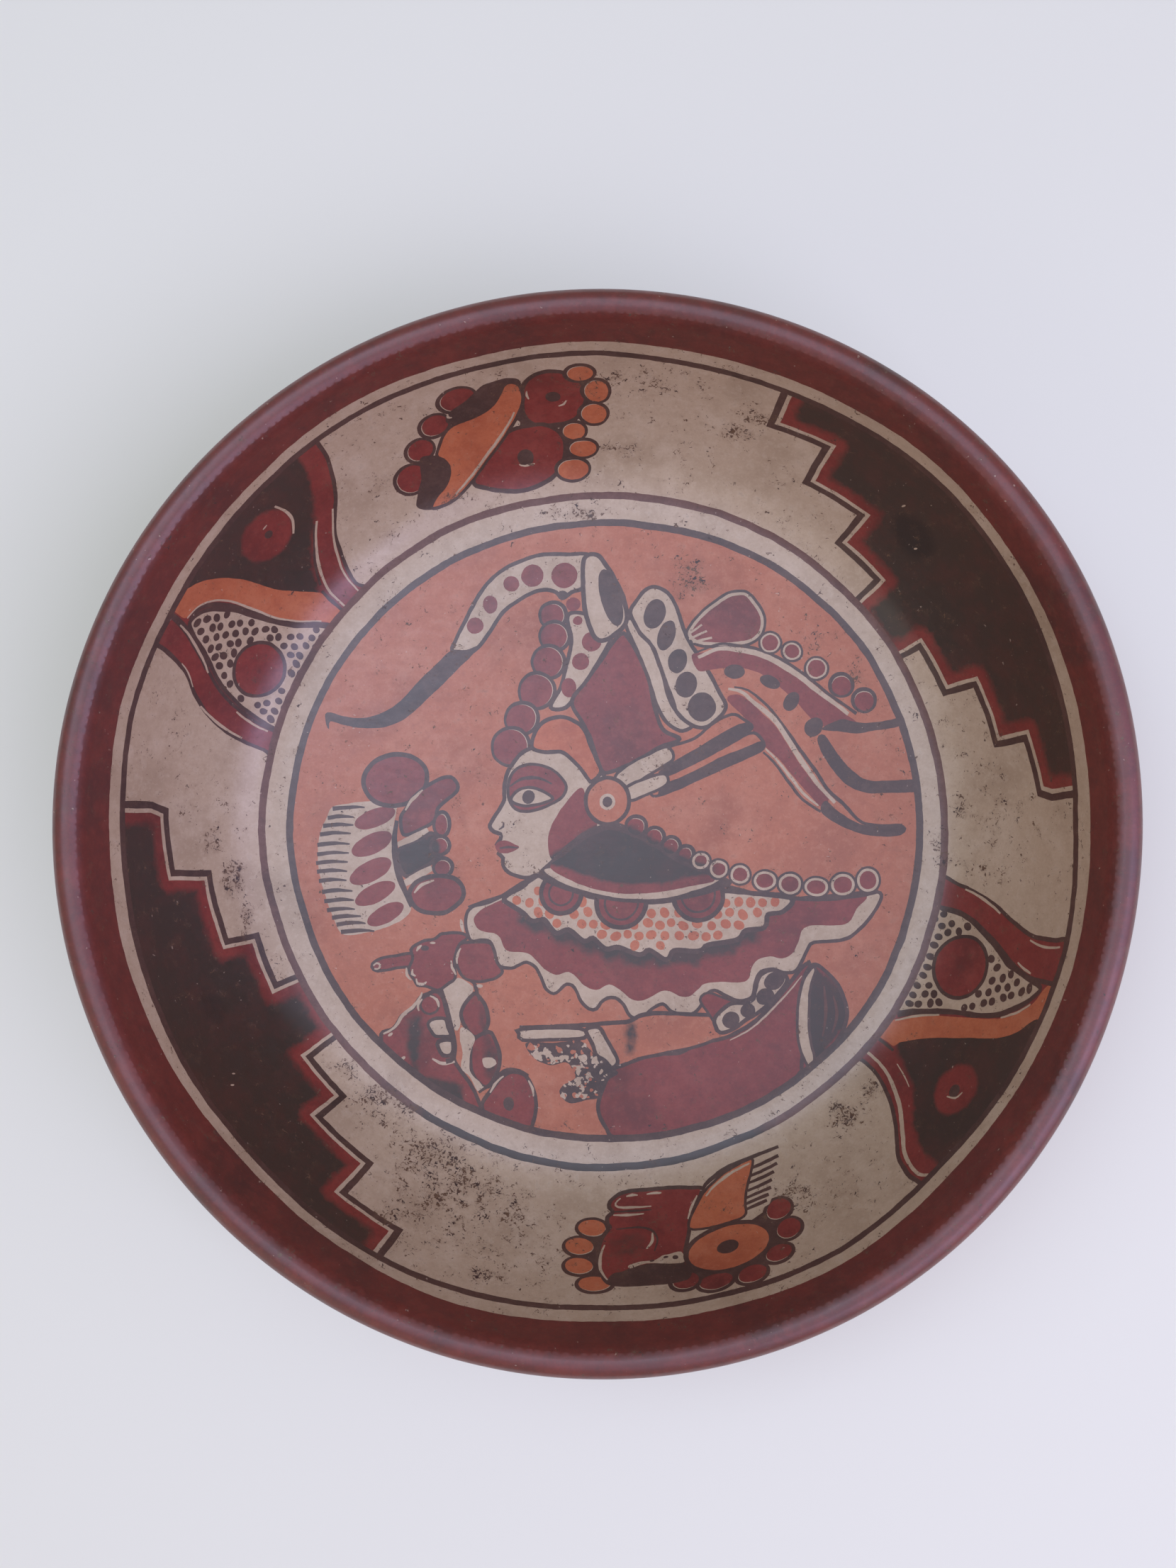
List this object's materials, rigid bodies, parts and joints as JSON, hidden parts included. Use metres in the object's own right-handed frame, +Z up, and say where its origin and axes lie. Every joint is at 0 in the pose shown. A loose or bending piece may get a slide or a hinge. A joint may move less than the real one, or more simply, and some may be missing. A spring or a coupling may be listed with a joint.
{
  "type": "earthenware platter",
  "caption": "Deep round hand-built earthenware dish with a flat floor, curved flaring wall and rolled lip, painted inside with polychrome slips.",
  "frame": {"origin": "middle of the flat underside that the dish stands on", "axes": "+Z up through the middle of the dish, out of its mouth; +X to the right and +Y to the top of the painted scene as it is seen from above"},
  "size_m": [0.3, 0.2991, 0.0724],
  "materials": {
    "floor_clay": "burnished orange iron slip over low-fired clay, painted; bare buff clay below",
    "wall_clay": "burnished cream slip over low-fired clay, painted; red slip outside",
    "lip_clay": "burnished dark red iron slip"
  },
  "bodies": {
    "root": {"floor_slab": "floor_clay", "corner_coil": "wall_clay", "lower_wall_coil": "wall_clay", "upper_wall_coil": "wall_clay", "lip_coil": "lip_clay"}
  },
  "joints": []
}
